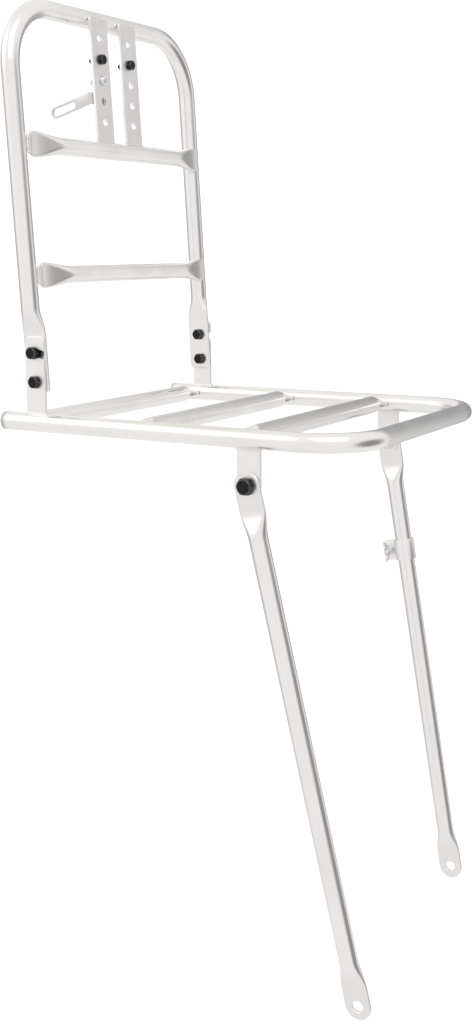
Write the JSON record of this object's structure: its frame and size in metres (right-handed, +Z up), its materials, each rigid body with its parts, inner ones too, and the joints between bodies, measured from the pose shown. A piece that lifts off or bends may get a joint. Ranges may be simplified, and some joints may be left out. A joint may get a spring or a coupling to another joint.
{
  "type": "folding luggage rack",
  "caption": "Front bicycle rack: tube deck with slats, back hoop that folds forward on side tabs, swinging legs with axle eyes, perforated strips and a slotted stem stay.",
  "frame": {"origin": "middle of the wheel axle, midway between the two foot eyes", "axes": "+Z up, -Y to the front of the rack and of the bicycle, +X along the axle, so that the stem stay is on the -X half"},
  "size_m": [0.2994, 0.3779, 0.8365],
  "materials": {
    "tube": "bright plated steel, satin shine",
    "plate": "bright plated pressed steel",
    "zinc": "zinc plated",
    "black_bolt": "black oxide, satin",
    "plug": "pale grey plastic"
  },
  "bodies": {
    "deck": {"deck_hoop": "tube", "hinge_tab_left": "plate", "hinge_tab_right": "plate", "leg_left_bolt": "black_bolt", "leg_left_nut": "zinc", "leg_left_washer": "zinc", "leg_right_bolt": "black_bolt", "leg_right_nut": "zinc", "leg_right_washer": "zinc", "leg_tab_left": "plate", "leg_tab_right": "plate", "pivot_left_bolt": "black_bolt", "pivot_left_nut": "zinc", "pivot_left_washer": "zinc", "pivot_right_bolt": "black_bolt", "pivot_right_nut": "zinc", "pivot_right_washer": "zinc", "rail_plug_left": "plug", "rail_plug_right": "plug", "slat_front": "tube", "slat_middle": "tube", "slat_rear": "tube"},
    "back_frame": {"back_hoop": "tube", "crossbar_lower": "tube", "crossbar_upper": "tube", "lock_left_bolt": "black_bolt", "lock_left_nut": "zinc", "lock_left_washer": "zinc", "lock_right_bolt": "black_bolt", "lock_right_nut": "zinc", "lock_right_washer": "zinc", "stay_nut": "zinc", "stay_screw": "zinc", "strip_left": "plate", "strip_left_bolt": "black_bolt", "strip_left_nut": "zinc", "strip_left_washer": "zinc", "strip_right": "plate", "strip_right_bolt": "black_bolt", "strip_right_nut": "zinc", "strip_right_washer": "zinc"},
    "stay": {"stem_stay": "plate"},
    "leg_left": {"leg_left": "tube"},
    "leg_right": {"leg_right": "tube"},
    "lamp_clip": {"clip_band": "plate", "clip_screw": "zinc"},
    "wing_nut": {"wing_nut": "zinc"}
  },
  "joints": [
    {"name": "back_fold", "type": "hinge", "parent": "deck", "child": "back_frame", "pos_m": [0, 0.30026, 0.49996], "axis": [1, 0, 0], "range_deg": [0, 93.4]},
    {"name": "leg_left_fold", "type": "hinge", "parent": "deck", "child": "leg_left", "pos_m": [-0.1408, 0.08926, 0.42726], "axis": [1, 0, 0], "range_deg": [-76, 103]},
    {"name": "leg_right_fold", "type": "hinge", "parent": "deck", "child": "leg_right", "pos_m": [0.1408, 0.08926, 0.42726], "axis": [1, 0, 0], "range_deg": [-80, 100]},
    {"name": "stay_swivel", "type": "hinge", "parent": "back_frame", "child": "stay", "pos_m": [-0.0225, 0.30874, 0.76067], "axis": [0, 0.9982, -0.0593], "range_deg": [-20, 20]},
    {"name": "clip_slide", "type": "slide", "parent": "leg_right", "child": "lamp_clip", "axis": [0, -0.1736, -0.9848], "range_m": [-0.055, 0.27]},
    {"name": "wing_nut_spin", "type": "hinge", "parent": "lamp_clip", "child": "wing_nut", "pos_m": [0.1382, 0.08528, 0.3183], "axis": [-1, 0, 0], "continuous": true}
  ]
}
